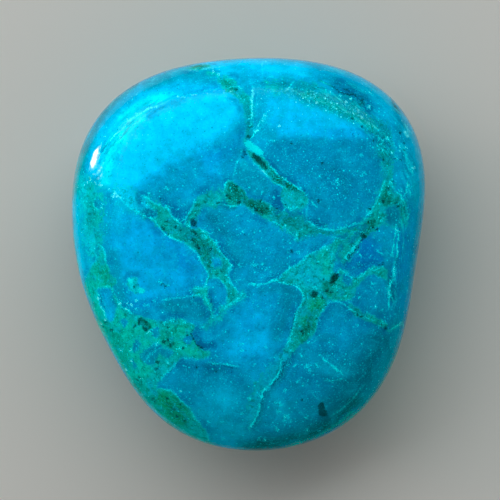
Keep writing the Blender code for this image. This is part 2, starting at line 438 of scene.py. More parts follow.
# Painted in order over the veins' own green, in the same way.
GREEN_PAINT = entries("""
# the vein from the left down to the middle, and the arm above it
glacier 0.90 5 0: 104,184 138,190 152,204 146,216 120,206
teal 0.85 3 6: 176,226 200,242 214,262
moss 0.80 2 4: 196,238 204,250 212,266
turquoise 0.70 3 4: 202,196 216,196
teal 0.80 3 3: 190,206 186,222
teal 0.80 3 4: 222,262 230,280
turquoise 0.85 3 5: 238,296 222,310 212,322
moss 0.85 2.5 0: 226,188 234,184 246,194 262,201 272,208 268,217 254,211 238,203 228,202
bottle 0.85 2.5 3: 253,206 262,211
bottle 0.70 2.5 2.5: 230,186 238,192
# the vein down from the notch
moss 0.85 3 3: 221,80 228,86 236,92
teal 0.85 4 5: 240,92 246,108 249,140
petrol 0.80 3 3.5: 249,108 250,128
bottle 0.90 2.5 3.5: 262,166 276,178 286,184 296,190
turquoise 0.90 2.5 0: 281,190 300,191 306,202 304,208 290,210 282,205
moss 0.80 3 3: 268,210 280,216 292,224
teal 0.85 4 5: 276,214 300,226 330,232
aqua 0.75 2 2: 306,221 325,229 345,227
# the rim at the top and the speckled band at the upper right
moss 0.85 2 0: 184,68 192,64 204,64 210,66 198,69
petrol 0.90 5 0: 268,78 320,84 352,95 372,112 390,124 394,150 372,142 350,126 320,112 290,100
jade 0.50 4 4: 304,96 330,105 352,115 374,130
petrol 0.80 4 6: 380,138 386,160
teal 0.85 4 4: 384,152 384,176
moss 0.90 2.5 0: 383,190 388,186 393,200 388,206 380,205
moss 0.80 3 3: 398,200 404,212
moss 0.85 3 3.5: 372,222 366,232
turquoise 0.80 2 2: 380,190 372,208 361,224
# the junction on the right of the middle, its arms and its tail
aqua 0.95 6 0: 284,274 296,268 312,254 330,246 336,256 330,280 318,292 300,286
sea 0.80 4 5: 316,262 326,250 326,272
jade 0.85 3 3: 324,284 330,296
leaf 0.90 4 6: 318,302 308,322
jade 0.80 4 4: 302,340 310,318
moss 0.90 4 4: 303,330 310,326
turquoise 0.90 2 2.5: 303,298 295,318 290,338 284,356
lagoon 0.90 3 8: 282,358 266,384 257,408 250,426
aqua 0.80 3 1.5: 281,366 272,380 262,392 259,404 252,420
turquoise 0.80 3 4: 340,268 356,278 372,268
moss 0.85 2 3: 334,276 332,284
moss 0.70 2 2: 354,304 362,316 378,322
# the left rim and the broad green of the lower left
aqua 0.80 5 5: 84,180 82,200 90,252
teal 0.85 4 5: 92,214 92,236
aqua 0.80 4 4: 92,236 95,250 96,262
sea 0.85 5 0: 98,258 110,272 118,300 150,320 170,330 160,356 150,380 120,380 90,330 88,290
turquoise 0.70 3 3: 116,300 128,312 146,320
jade 0.75 5 6: 102,268 112,282
jade 0.75 4 5: 104,322 118,342 128,362
sea 0.90 4 0: 168,322 190,324 192,334 200,348 210,354 196,357 178,352 172,338
jade 0.80 3 4: 162,336 174,344
bottle 0.95 1.6 0: 140,317 145,318 152,325 151,330 148,332 144,326 139,323
turquoise 0.70 4 5: 170,362 158,378 150,384
olive 0.95 4 0: 158,391 170,391 176,398 184,405 190,412 190,422 184,428 172,424 160,412 154,400
bottle 0.35 4 5: 170,404 182,420
jade 0.75 4 4: 140,386 150,402 168,424
turquoise 0.80 4 5: 196,428 206,438
aqua 0.90 1.5 1.2: 139,392 150,405 165,420 185,436 200,446
aqua 0.95 1.6 0: 128,277 133,278 138,277 138,286 143,289 146,289 144,293 137,293 131,290
""")

# How thickly the tiny crystals and their painted glints lie. Level, strength, softness, half width:
# corners
SPARKLING = entries("""
0.10 1.0 10 0: 90,190 100,140 140,104 190,92 238,96 236,124 205,150 165,176 130,200
0.10 1.0 8 0: 114,230 150,222 190,252 204,282 160,296 124,292
0.25 1.0 8 0: 266,104 300,106 345,122 366,136 300,136 268,136
0.30 1.0 9 0: 215,320 250,300 280,300 284,330 262,366 230,352
1.00 1.0 4 5: 294,170 300,178 304,184
1.00 1.0 6 7: 326,178 332,190 340,196
0.75 1.0 9 9: 290,160 320,172 340,178
0.70 1.0 6 5: 255,266 268,272
0.80 1.0 5 4: 288,364 312,368 320,364
0.70 1.0 6 7: 330,346 346,356
0.80 1.0 5 5: 376,142 386,146
0.80 1.0 5 4: 402,140 410,168
0.60 1.0 6 6: 276,426 306,424 316,434
0.95 1.0 5 7: 304,95 322,103 340,111 354,120
0.80 1.0 5 6: 372,126 384,140 390,152
""")

# Where fine streaks run along the rim, in the same way as the crystals.
STREAKY = entries("""
1.0 1.0 5 9: 298,91 326,100 350,110 368,124 380,140 386,156
1.0 1.0 4 6: 399,222 397,250 393,280 390,308
0.8 1.0 5 8: 398,112 405,140 409,170 409,205
0.8 1.0 5 7: 94,178 104,154 122,132 146,112 170,100
0.5 1.0 6 8: 330,74 356,88 380,104
""")

# Fine light lines. Strength: corners
# painted reflection along the crease of the upper left shoulder, in the first three lines
LIGHT_LINES = entries("""
1.2: 100,160 106,148 115,136 125,127 140,113 155,107 165,104
1.0: 102,150 108,142 114,134
0.6: 104,166 112,150 122,136 135,124 150,114
0.5: 178,99 192,95 205,92 225,88
0.8: 200,70 213,68 215,66
0.8: 223,81 233,79
0.9: 223,88 240,87
0.5: 262,60 263,70 262,78
0.6: 255,85 253,95 252,115 251,130
1.8: 262,128 256,133 250,140
0.6: 270,108 266,116 262,128
0.5: 318,80 325,84 334,88
1.8: 402,131 405,134 409,138
1.5: 385,138 389,142
0.8: 373,134 374,137 377,140
1.8: 407,180 408,187 406,191 405,195
1.3: 409,182 409,191 410,198
0.8: 405,160 407,166 409,171
1.8: 396,223 395,232 393,241 392,249 391,257
1.8: 398,228 397,239 397,250 396,256 395,263
2.0: 393,262 393,270 392,278 390,283 389,289
1.5: 388,286 388,292 389,298 388,303 389,311
0.7: 394,269 394,280 392,284
0.6: 384,286 388,290 391,297 394,304
0.5: 389,311 391,320
0.8: 368,284 372,289 373,292
0.5: 357,130 356,142
0.6: 398,140 404,152 408,166
0.5: 402,120 410,136
0.7: 404,168 407,181
0.6: 392,140 396,150
0.5: 400,196 404,214 405,232
0.5: 394,268 396,290 394,312
0.7: 412,163 413,177
0.4: 150,84 158,75
0.5: 304,97 312,107
0.9: 268,162 272,168 278,175 285,180 292,184 298,189 304,193
0.6: 252,162 262,170 268,178 275,184 281,186 288,189
0.9: 309,199 312,202 319,209
0.5: 308,196 306,210 306,220
0.9: 224,192 226,182 232,181
0.7: 272,200 271,206 270,210
0.8: 216,204 233,206 244,206
0.6: 239,158 236,163 235,172 233,180
0.7: 215,222 222,224
0.9: 305,220 312,225 318,228 330,230 340,229 352,225 360,222
0.7: 264,219 275,222 290,232 297,240
0.7: 295,228 297,236 295,243
0.7: 328,234 334,239
0.7: 337,240 333,246 331,260
0.8: 112,187 119,195 122,201 133,210 147,217 153,219 160,228 168,235 178,240 190,246
0.8: 190,246 195,250 200,256 203,263 206,268 209,275 207,281 206,290
0.7: 138,193 150,200 160,206 169,210 173,218 184,226
0.8: 199,228 206,231 210,236 215,241 218,249 222,255 228,260 231,265 228,274 231,282 240,294
0.8: 197,199 194,205 192,210 186,218 184,228
0.6: 194,213 190,220
0.8: 189,220 190,229
0.7: 210,278 218,278 224,283 228,290
0.8: 206,290 205,296 208,302 212,310 213,315
0.7: 191,289 199,288 206,290
0.7: 160,300 175,298 192,296 205,292
0.9: 243,296 235,301 228,305 222,310
0.7: 230,280 245,279
0.6: 243,296 255,297
1.6: 250,282 258,285 263,284 270,281 275,280 283,283 292,284 298,287 303,292 302,302
0.8: 282,277 283,273 287,270 290,267 295,267 300,262 305,257 312,253 320,250
0.8: 385,178 381,190 377,200 372,208 368,214 362,222
0.8: 388,183 395,190 401,196 405,205 408,215 406,222
0.6: 370,213 378,209
0.7: 364,233 367,237
1.0: 378,251 385,256
0.6: 372,248 380,252
1.0: 361,235 358,240 354,246 351,251 347,256 343,261
1.0: 338,268 343,271 350,276 355,280
1.0: 356,280 362,275 368,270 376,268 383,267
0.8: 303,300 300,305 297,312 295,320 293,328 291,337 288,342 286,350
0.5: 328,300 325,308 320,313 316,325 313,335
1.6: 284,357 282,361 281,369
1.4: 281,369 277,375 271,382 266,388
1.6: 266,388 263,391 262,396 260,400
1.4: 260,400 259,407 257,413 254,420 252,425 250,428
0.7: 325,302 333,302 338,301 344,304 350,309 360,316 378,321
0.8: 388,330 395,327 403,323
0.6: 311,390 315,396 320,400
0.6: 299,409 305,416
0.9: 198,327 207,326
0.8: 208,361 215,363 226,364 240,366
0.9: 101,286 108,286 113,288
0.9: 96,289 99,297 101,305 105,313 108,321
0.7: 114,290 117,298 121,305
0.8: 119,301 122,306 128,310 135,314
0.7: 178,361 172,367 166,373 160,380
0.8: 158,388 168,389 172,389 176,395 182,400 191,408
0.7: 191,408 196,420 203,425
0.8: 188,321 196,326
0.7: 96,247 103,246 106,253 108,266
0.6: 94,200 94,206 98,210 103,211
0.7: 134,344 131,349 134,354
0.7: 131,357 133,366
0.6: 144,362 157,349 164,346
0.6: 139,392 150,405 165,420 185,436
1.0: 318,352 325,360 336,368 345,375
0.8: 322,379 334,380 344,377
0.7: 253,84 252,98 252,112 251,122
0.7: 296,80 290,86 284,94
0.8: 266,112 262,121 258,128 252,134
1.0: 366,90 370,93 374,97
0.9: 384,100 389,104
0.8: 267,77 275,77
0.5: 366,382 350,402 330,416
""")
# Fine dark lines, in the same way.
# painted shade in the crease of the upper left shoulder, in the first two lines
# painted shadow beside the edge of a green vein
# painted shadow beside the edge of a green vein
# painted shadow beside the edge of a green vein
DARK_LINES = entries("""
0.5: 103,166 109,151 118,139 129,130 144,116 157,110 168,107
0.7: 100,154 107,143 113,136
0.4: 94,197 97,203 99,208
2.4: 318,80 325,84 334,88 338,92 344,94 352,95 358,96 363,99 362,104 360,108
0.6: 268,82 262,84 258,83
1.6: 341,88 350,92 359,100 366,108
0.7: 353,130 353,142
1.0: 218,247 221,252 225,256 230,260
0.8: 197,210 196,218 197,226
0.6: 252,159 258,163 264,168 270,173
1.0: 366,236 361,240 358,245 353,252 349,257 345,262 342,266
0.7: 209,293 212,300 215,308
0.7: 192,329 190,334 194,340
0.6: 166,373 174,366 184,359
0.7: 208,363 226,366 240,369
0.6: 306,222 316,228 325,231
0.7: 99,290 103,302 107,312
0.6: 264,394 262,404 258,417
0.8: 288,359 284,364 283,371 276,380 270,387
0.7: 393,200 400,205 405,214
0.6: 119,304 126,310 136,316
0.5: 271,190 271,206
0.7: 350,308 358,315 368,319
0.6: 131,345 131,351 134,355
0.6: 131,358 132,364 134,367
0.7: 142,359 149,352 157,346
0.6: 183,336 184,342 190,344
1.8: 194,327 191,333 194,340 199,345 207,348
0.6: 108,288 114,291 117,299
0.5: 300,300 294,316 290,334
0.6: 250,205 258,210 266,216
0.5: 386,300 391,268
""")
# Dark grains: "x,y,radius"
DARK_GRAINS = """
244,151,1.7 246,155,1.5 243,158,1.2 266,168,1.5 163,228,1.6 165,230,1.4 167,233,1.1 169,235,1.3
167,222,1.6 176,227,1.4 179,230,1.3 182,231,1.4 194,240,1.4 199,252,1.3 201,255,1.2 211,249,1.7
207,251,1.2 208,254,1.3 206,203,1.1 196,212,1.2 197,206,1.0 221,272,1.4 217,274,1.3 210,267,1.0
237,187,1.9 233,186,1.4 228,196,1.5 231,199,1.3 240,203,1.7 218,203,1.4 256,211,1.6 261,201,1.2
267,209,1.2 278,219,1.3 276,209,1.1 304,191,1.1 281,177,1.2 318,201,1.4 321,200,1.0 322,164,1.7
291,144,1.2 316,188,0.9 316,222,1.2 251,127,1.1 249,137,1.6 292,251,1.5 302,251,1.2 318,264,1.1
323,280,1.2 322,298,1.3 327,290,1.8 331,292,1.4 331,262,1.0 325,305,1.3 317,317,1.3 302,331,1.5
304,333,1.3 308,326,1.2 305,303,1.1 388,188,1.8 382,202,1.8 395,203,1.5 397,207,1.3 377,161,1.2
382,160,1.2 394,159,1.3 400,133,1.2 404,143,1.3 368,222,1.5 372,227,1.7 376,229,1.4 379,265,1.5
383,263,1.2 369,209,1.2 353,313,1.1 357,314,1.3 360,316,1.3 381,324,1.5 385,328,1.6 302,399,1.2
197,366,1.5 216,371,1.1 136,325,1.4 134,327,1.0 107,323,1.5 103,327,1.6 100,272,1.2 112,330,1.2
158,362,1.8 157,369,1.4 140,377,1.3 138,380,1.3 142,381,1.0 153,399,1.4 156,401,1.1 165,342,1.9
169,340,1.3 171,345,1.6 174,343,1.1 137,284,1.6 136,287,1.1 163,284,1.3 166,286,1.3 168,332,1.1
169,327,1.0 194,297,1.0 159,160,0.8 161,200,1.1 174,408,1.2 178,416,1.4 168,398,1.2 185,420,1.2
181,404,1.1 116,356,1.0 124,374,1.0 188,335,1.2 184,348,1.2 318,98,1.0 362,128,0.9 384,166,0.9 396,106,1.4
404,150,1.1 400,160,1.0 224,341,0.8 244,235,0.8 285,205,1.0 403,246,0.9 352,119,0.9 373,141,0.9
392,182,1.0 236,90,1.2
"""
# Dark hollows and inclusions as closed patches.
DARK_PATCHES = (
    "252,156 255,153 259,157 262,160 265,164 267,168 265,169 261,165 257,162 253,159",
    "190,220 192,219 195,219 197,223 198,228 195,227 192,226 190,225",
    "190,229 193,230 196,232 199,235 196,236 192,233",
    "191,238 195,238 196,241 193,242",
    "195,243 198,243 201,248 200,250 197,249",
    "311,292 314,290 318,292 317,297 314,298 311,297",
    "333,274 338,273 339,277 337,280 335,283 331,284 330,281 332,277",
    "320,402 323,401 325,404 324,408 327,411 326,415 321,416 318,413 319,409 317,405",
    "139,318 143,317 142,321 140,326 138,322",
    "143,326 147,328 149,331 147,332 143,329",
    "146,320 149,321 148,323 145,322",
    "361,233 364,233 366,236 364,239 359,238",
)
# Light chips, and among them painted glints, the first four below the highlight on the left shoulder and
# some beside dark grains: "x,y,radius"
CHIPS_AND_GLINTS = """
84,185,1.2 88,182,1.2 92,181,1.3 97,183,1.2 102,185,1.3 110,190,1.0 114,197,1.5 118,196,1.3 115,194,1.1
103,205,1.2 102,208,1.2 105,137,0.9 128,121,0.8 149,194,1.0 166,207,1.6 169,210,1.3 171,237,1.7
174,239,1.2 167,235,1.3 178,220,1.5 183,220,1.0 144,217,1.2 146,215,1.0 152,218,1.0 148,204,1.4
168,190,1.3 160,192,0.9 189,225,1.7 204,236,1.5 207,237,1.3 212,234,1.0 216,243,1.4 215,240,1.0
202,231,1.3 206,231,1.2 197,253,1.1 200,257,1.4 200,260,1.0 231,265,1.5 229,268,1.1 227,275,1.3
230,282,1.2 232,284,1.2 206,285,1.7 205,288,1.2 198,287,1.3 191,291,1.1 194,294,1.2 229,303,1.2
232,303,1.2 238,299,1.4 242,294,1.4 239,265,1.3 255,265,1.6 252,264,1.1 263,264,1.3 267,268,1.2
271,271,1.2 262,275,1.1 243,232,1.2 237,216,1.2 249,221,1.0 228,223,1.1 238,235,1.0 254,300,1.2
258,306,1.0 250,283,1.3 259,285,1.2 268,283,1.4 272,280,1.2 298,287,1.7 296,285,1.1 284,283,1.1
324,247,1.7 327,249,1.5 321,248,1.0 299,252,1.6 289,243,1.2 287,251,1.2 294,267,1.4 289,268,1.2
281,276,1.0 306,236,1.2 308,237,1.0 296,235,1.3 295,240,1.1 310,281,1.1 315,288,1.5 313,287,1.0
318,296,1.0 308,298,1.0 337,272,1.2 339,278,1.0 333,286,1.1 337,286,1.0 322,255,1.1 318,261,1.1
331,265,1.1 353,247,1.4 352,250,1.2 346,258,1.4 349,253,1.0 358,263,1.2 353,268,1.1 360,255,1.2
357,252,1.2 355,281,1.2 363,233,1.2 378,251,1.3 371,283,1.2 374,283,1.1 376,293,1.2 358,298,1.1
345,296,1.1 388,292,1.4 388,296,1.1 375,307,1.2 381,310,1.2 380,325,1.1 382,322,1.3 385,322,1.1
357,324,1.2 367,213,1.8 370,212,1.0 365,212,1.0 387,187,1.2 389,194,1.3 390,183,1.4 392,180,1.0
381,221,1.3 353,213,1.2 378,217,1.1 334,238,1.0 340,229,1.3 345,226,1.1 336,182,1.9 338,184,1.2
361,156,1.3 357,172,1.2 364,173,1.0 361,176,1.3 365,182,1.1 368,192,1.1 318,159,1.2 289,195,1.4
292,209,1.6 296,208,1.2 288,207,1.0 284,211,1.1 285,226,1.4 306,195,1.2 299,188,1.1 274,198,1.0
250,188,1.1 263,193,1.2 264,180,1.2 242,151,1.3 267,145,1.5 271,141,1.1 274,141,1.0 237,162,1.2
257,142,1.0 280,127,1.4 278,128,1.0 399,147,1.2 401,149,1.2 405,147,1.3 399,151,1.2 391,153,1.6
394,157,1.1 396,159,1.2 413,168,1.6 409,171,1.3 411,172,1.1 405,133,1.4 407,136,1.3 386,139,1.2
382,141,1.1 380,144,1.1 383,146,1.0 382,151,1.2 376,146,1.0 379,139,1.1 408,186,1.5 406,193,1.3
397,250,1.5 396,256,1.4 394,262,1.3 393,268,1.5 394,272,1.2 390,281,1.3 389,286,1.2 397,231,1.3
395,229,1.1 290,341,1.3 292,349,1.4 290,349,1.0 266,388,1.7 263,390,1.7 260,395,1.7 262,397,1.2
263,399,1.0 282,359,1.3 281,370,1.2 250,398,1.7 243,349,1.6 243,343,1.0 266,346,1.2 242,412,1.1
306,366,1.9 309,365,1.5 304,367,1.1 310,370,1.4 316,363,1.3 318,366,1.1 297,381,1.6 303,384,1.3
325,360,1.6 323,360,1.1 285,389,1.5 295,365,1.5 288,364,1.1 254,364,1.2 265,365,1.1 279,402,2.0
281,404,1.6 278,411,1.9 280,411,1.2 285,416,2.2 288,416,1.8 284,419,1.5 290,421,1.2 268,407,1.0
275,402,1.1 276,428,1.5 278,430,1.1 306,417,1.4 307,429,1.2 312,424,1.1 301,354,1.2 303,356,1.0
308,342,1.1 314,341,1.1 209,421,1.3 222,421,1.2 223,438,1.3 232,434,1.2 259,439,1.4 265,439,1.0
252,424,1.3 250,428,1.1 162,282,1.3 160,281,1.0 168,285,1.1 127,309,1.4 128,303,1.2 132,305,1.4
138,300,1.3 137,309,1.1 146,305,1.4 148,305,1.0 155,300,1.2 164,312,1.1 150,330,1.5 148,332,1.1
157,344,1.5 159,341,1.1 181,391,1.2 102,325,1.4 122,350,1.1 126,370,1.2 114,289,1.5 120,303,1.4
121,300,1.1 99,298,1.3 106,320,1.2 143,378,1.0 168,362,1.2 181,348,1.3 177,348,1.0 185,322,1.2 166,322,1.2
172,320,1.3 131,350,1.0 132,360,1.2 214,72,1.5 219,75,1.2 172,93,0.9 178,97,0.9 345,103,1.3 350,99,1.2
368,108,1.5 358,112,1.1 362,118,1.2 340,96,1.0 330,92,1.0 316,104,1.1 400,190,1.3 404,196,1.2 402,199,1.2
398,204,1.2 236,402,1.0 216,355,1.1 232,362,1.0 248,330,1.1 241,343,1.2 225,330,1.0
"""
# Bright turquoise chips as closed patches.
BRIGHT_CHIPS = (
    "245,141 250,140 257,146 264,153 262,156 258,156 253,152 247,148",
    "127,277 133,278 134,282 130,284",
    "139,287 143,289 146,289 144,293 139,292",
)

# ---------------------------------------------------------------- turning the markings into fields
SEED = 20261
LATTICE = 32
TINY = 1e-9

# Beyond these a field of the markings says nothing more: depths, grains and lines in grid squares,
# covers in edge softnesses, and paints in edge softnesses outside their shape.
FARTHEST_DEPTH = 12.0
FARTHEST_GRAIN = 4.0
FARTHEST_COVER = 3.0
PAINT_MARGIN = 1.2
LINE_REACH = 5.0
LINE_FADE = 5.0  # a line dies away over this stretch at either end
FAINT_EDGE = 3  # a shape whose edge is this soft or softer has no border of its own


def as_points(text):
    return np.array([[float(part) for part in pair.split(",")] for pair in text.split()])


def smooth(value):
    value = np.clip(value, 0, 1)
    return value * value * (3 - 2 * value)


def linear(colour):
    """An sRGB colour of 0 to 255 as linear light."""
    share = np.array(colour) / 255
    return np.where(share <= 0.04045, share / 12.92, ((share + 0.055) / 1.055) ** 2.4)


def cloud(points, size, seed):
    """Smooth seeded noise from 0 to 1, with bumps of about the given size."""
    table = np.random.default_rng(SEED + seed).random((LATTICE,) * 3)
    place = points / size
    cell = np.floor(place).astype(int)
    part = smooth(place - cell)
    total = np.zeros(len(points))
    for corner in np.ndindex(2, 2, 2):
        share = np.prod(np.where(np.array(corner), part, 1 - part), axis=1)
        total += share * table[tuple(((cell + corner) % LATTICE).T)]
    return total


def clouds(points, layers, axes):
    """Noise along each of the axes, summed from layers of (height, size, first seed)."""
    summed = [
        sum(height * cloud(points, size, seed + axis) for height, size, seed in layers)
        for axis in range(axes)
    ]
    return np.stack(summed, axis=1)


def rounded(corners, closed):
    """Cut the corners of a line, so that it bends as a vein does."""
    for _ in range(1 if closed else 2):
        after = np.roll(corners, -1, axis=0) if closed else corners[1:]
        before = corners if closed else corners[:-1]
        cut = np.stack([0.75 * before + 0.25 * after, 0.25 * before + 0.75 * after], axis=1)
        cut = cut.reshape(-1, 2)
        corners = cut if closed else np.vstack([corners[:1], cut, corners[-1:]])
    return corners


def nearby(place, corners, margin):
    low, high = corners.min(axis=0) - margin, corners.max(axis=0) + margin
    return np.flatnonzero(np.all((place > low) & (place < high), axis=1))


def stretch_distances(place, start, end):
    """Distance to a straight stretch, which side of it, and how far along it, in grid squares."""
    run = end - start
    length = np.hypot(*run) or TINY
    along = ((place - start) @ run) / length
    side = (place - start) @ np.array([-run[1], run[0]]) / length
    beyond = np.maximum(0, np.maximum(-along, along - length))
    return np.hypot(side, beyond), side, along


def depth_in_patch(place, corners):
    """How deep each place lies inside a closed patch; less than 0 outside."""
    nearest = np.full(len(place), np.inf)
    inside = np.zeros(len(place), bool)
    for start, end in zip(corners, np.roll(corners, -1, axis=0)):
        nearest = np.minimum(nearest, stretch_distances(place, start, end)[0])
        crosses = (start[1] > place[:, 1]) != (end[1] > place[:, 1])
        rise = np.where(end[1] == start[1], TINY, end[1] - start[1])
        crosses &= place[:, 0] < (end[0] - start[0]) * (place[:, 1] - start[1]) / rise + start[0]
        inside ^= crosses
    return np.where(inside, nearest, -nearest)


def depth_in_shape(place, half, text, margin):
    """Depth inside a patch, or inside a band of the given half width; nearby places only."""
    corners = rounded(as_points(text), not half)
    near = nearby(place, corners, margin)
    if not half:
        return near, depth_in_patch(place[near], corners)
    depth = np.full(len(near), -np.inf)
    for start, end in zip(corners, corners[1:]):
        depth = np.maximum(depth, half - stretch_distances(place[near], start, end)[0])
    return near, depth


def within(depth, farthest):
    return np.clip(depth, -farthest, farthest)


def green_cover(place):
    """How surely each place is in the green (in edge softnesses), and its depth in grid squares."""
    cover = np.full(len(place), -FARTHEST_COVER)
    depth = np.full(len(place), -FARTHEST_DEPTH)
    for softness, half, text in GREEN_SHAPES:
        margin = half + FARTHEST_DEPTH + FARTHEST_COVER * softness
        near, inside = depth_in_shape(place, half, text, margin)
        cover[near] = np.maximum(cover[near], within(inside / softness, FARTHEST_COVER))
        if softness < FAINT_EDGE:
            depth[near] = np.maximum(depth[near], within(inside, FARTHEST_DEPTH))
    for softness, text in BLUE_WINDOWS:
        near, inside = depth_in_shape(place, 0, text, FARTHEST_DEPTH)
        cover[near] = np.minimum(cover[near], within(-inside / softness, FARTHEST_COVER))
        depth[near] = np.minimum(depth[near], within(-inside, FARTHEST_DEPTH))
    return cover, depth


def painted(place, ground, coats, read=linear):
    """The ground with each coat laid over it in turn."""
    found = np.tile(read(ground), (len(place), 1))
    for tint, strength, softness, half, text in coats:
        near, inside = depth_in_shape(place, half, text, half + PAINT_MARGIN * softness)
        share = strength * smooth((inside / softness + 1) / 2)
        found[near] += share[:, None] * (read(tint) - found[near])
    return found


def levelled(place, ground, coats):
    return painted(place, ground, coats, np.atleast_1d)[:, 0]


def sorted_into_sets(lines, clear):
    """Share lines out among sets so that no two lines of a set come close to each other."""
    sets = []
    for strength, text in lines:
        corners = rounded(as_points(text), False)
        for members in sets:
            gaps = [np.linalg.norm(corners[:, None] - other, axis=2).min() for _, other in members]
            if min(gaps) > clear:
                members.append((strength, corners))
                break
        else:
            sets.append([(strength, corners)])
    return sets


def line_fields(place, members):
    """The signed distance to the nearest line of a set, and how strong that line is there."""
    offset = np.full(len(place), LINE_REACH)
    strength = np.zeros(len(place))
    for line_strength, corners in members:
        near = nearby(place, corners, LINE_REACH)
        best = np.full(len(near), np.inf)
        side_found, along_found = np.zeros(len(near)), np.zeros(len(near))
        travelled = 0.0
        for start, end in zip(corners, corners[1:]):
            distance, side, along = stretch_distances(place[near], start, end)
            closer = distance < best
            best = np.where(closer, distance, best)
            side_found = np.where(closer, side, side_found)
            along_found = np.where(closer, travelled + along, along_found)
            travelled += np.hypot(*(end - start))
        fade = np.clip(np.minimum(along_found, travelled - along_found) / LINE_FADE, 0, 1)
        found = best < LINE_REACH
        offset[near[found]] = within(side_found, LINE_REACH)[found]
        strength[near[found]] = (line_strength * fade)[found]
    return offset, strength


def patch_depth(place, patches):
    depth = np.full(len(place), -FARTHEST_GRAIN)
    for text in patches:
        near, inside = depth_in_shape(place, 0, text, FARTHEST_GRAIN)
        depth[near] = np.maximum(depth[near], within(inside, FARTHEST_GRAIN))
    return depth


def grain_depth(place, text):
    depth = np.full(len(place), -FARTHEST_GRAIN)
    for *middle, radius in as_points(text):
        near = nearby(place, np.array([middle]), FARTHEST_GRAIN + radius)
        depth[near] = np.maximum(depth[near], radius - np.hypot(*(place[near] - middle).T))
    return depth


# The seeded network of the back and sides: cells of these blues between veins of these greens.
BACK_BLUES = ("blue", "azure", "cerulean", "navy", "blue", "cobalt")
BACK_GREENS = ("moss", "verdigris", "turquoise", "bottle")
BACK_CELLS = 90
BACK_TRIES = 4000
BACK_SPACING = 4.6  # no two middles of cells are closer, in millimetres
BACK_LOW = (-19, -21, -1)
BACK_HIGH = (19, 21, 15)
BACK_CLOUDY = 0.35  # the share of a cell's colour that changes within the cell
BACK_EDGE = 1.6  # the softness of a vein's edge, in grid squares
VEIN_HALF = 0.14  # in millimetres
VEIN_SWELL = 3.2  # how much wider veins get where they are broad
GOLDEN_SHARE = 0.381966
LAST_SHARE = 0.9999
# Single noises: (size of their bumps in millimetres, seed)
BROAD_VEINS = (6.0, 30)
CLOUDY_BLUES = (4.0, 31)
MIXED_GREENS = (2.2, 32)
NET_STRENGTH = (2.0, 33)
BROAD_FROM = 0.50
# How values from 0 to 1 are spread out: (times, less)
GREENS_SPREAD = (1.4, 0.2)
NET_SPREAD = (2.4, 0.6)
WORN_SPREAD = (1.6, 0.3)

# Noise in layers of (height, size of its bumps in millimetres, first seed).
WARP = ((2.6, 5.0, 0), (0.6, 1.5, 10))
WOBBLE = ((1.0, 0.55, 20), (0.6, 1.6, 22))
WOBBLE_MIDDLE = 0.8
WOBBLE_WIDTH = 1.7
WANDER = ((1.0, 3.0, 26),)
WANDER_MIDDLE = 0.5
WANDER_WIDTH = 30.0  # how far the markings stray on the walls, in grid squares

# Heights between which the markings of the face give way to the network.
SHAPES_END = (7.7, 9.7)
COLOURS_END = (5.0, 8.6)

WORN_DEPTH = 0.25  # in a dent this deep the polish is at its dullest
PLAIN_CROWD = 0.42  # how thickly the tiny crystals lie elsewhere


def back_middles():
    """Scattered middles of the network's cells."""
    draws = np.random.default_rng(SEED)
    middles = []
    for middle in draws.uniform(BACK_LOW, BACK_HIGH, (BACK_TRIES, 3)):
        if all(np.linalg.norm(middle - other) > BACK_SPACING for other in middles):
            middles.append(middle)
        if len(middles) == BACK_CELLS:
            break
    return np.array(middles)


def back_network(points):
    """The distance to the border of the two nearest cells, signed by its side, and the nearest one."""
    middles = back_middles()
    warped = points + clouds(points, WARP, 3)
    gaps = np.linalg.norm(warped[:, None] - middles, axis=2)
    order = np.argpartition(gaps, 1, axis=1)[:, :2]
    first = np.take_along_axis(gaps, order, 1)
    swap = first[:, 0] > first[:, 1]
    order[swap], first[swap] = order[swap][:, ::-1], first[swap][:, ::-1]
    apart = np.linalg.norm(middles[order[:, 0]] - middles[order[:, 1]], axis=1)
    border = (first[:, 1] ** 2 - first[:, 0] ** 2) / (2 * apart)
    return border * np.where(order[:, 0] < order[:, 1], 1, -1), order[:, 0]


def blended_colours(choices, share):
    """Paints picked along a list by a share from 0 to 1, mixed between neighbours."""
    table = np.array([linear(PAINTS[choice]) for choice in choices])
    place = np.clip(share, 0, LAST_SHARE) * (len(choices) - 1)
    low = place.astype(int)
    part = (place - low)[:, None]
    return table[low] * (1 - part) + table[low + 1] * part


def spread(value, times, less):
    return times * value - less


def back_colours(points, cell):
    """The blue of each cell of the network, and the green of its veins."""
    own = blended_colours(BACK_BLUES, (cell * GOLDEN_SHARE) % 1)
    cloudy = blended_colours(BACK_BLUES, cloud(points, *CLOUDY_BLUES))
    greens = blended_colours(BACK_GREENS, spread(cloud(points, *MIXED_GREENS), *GREENS_SPREAD))
    return (1 - BACK_CLOUDY) * own + BACK_CLOUDY * cloudy, greens


def above(points, heights):
    """0 below the first height, 1 above the second, smooth between."""
    return smooth((points[:, 2] - heights[0]) / (heights[1] - heights[0]))


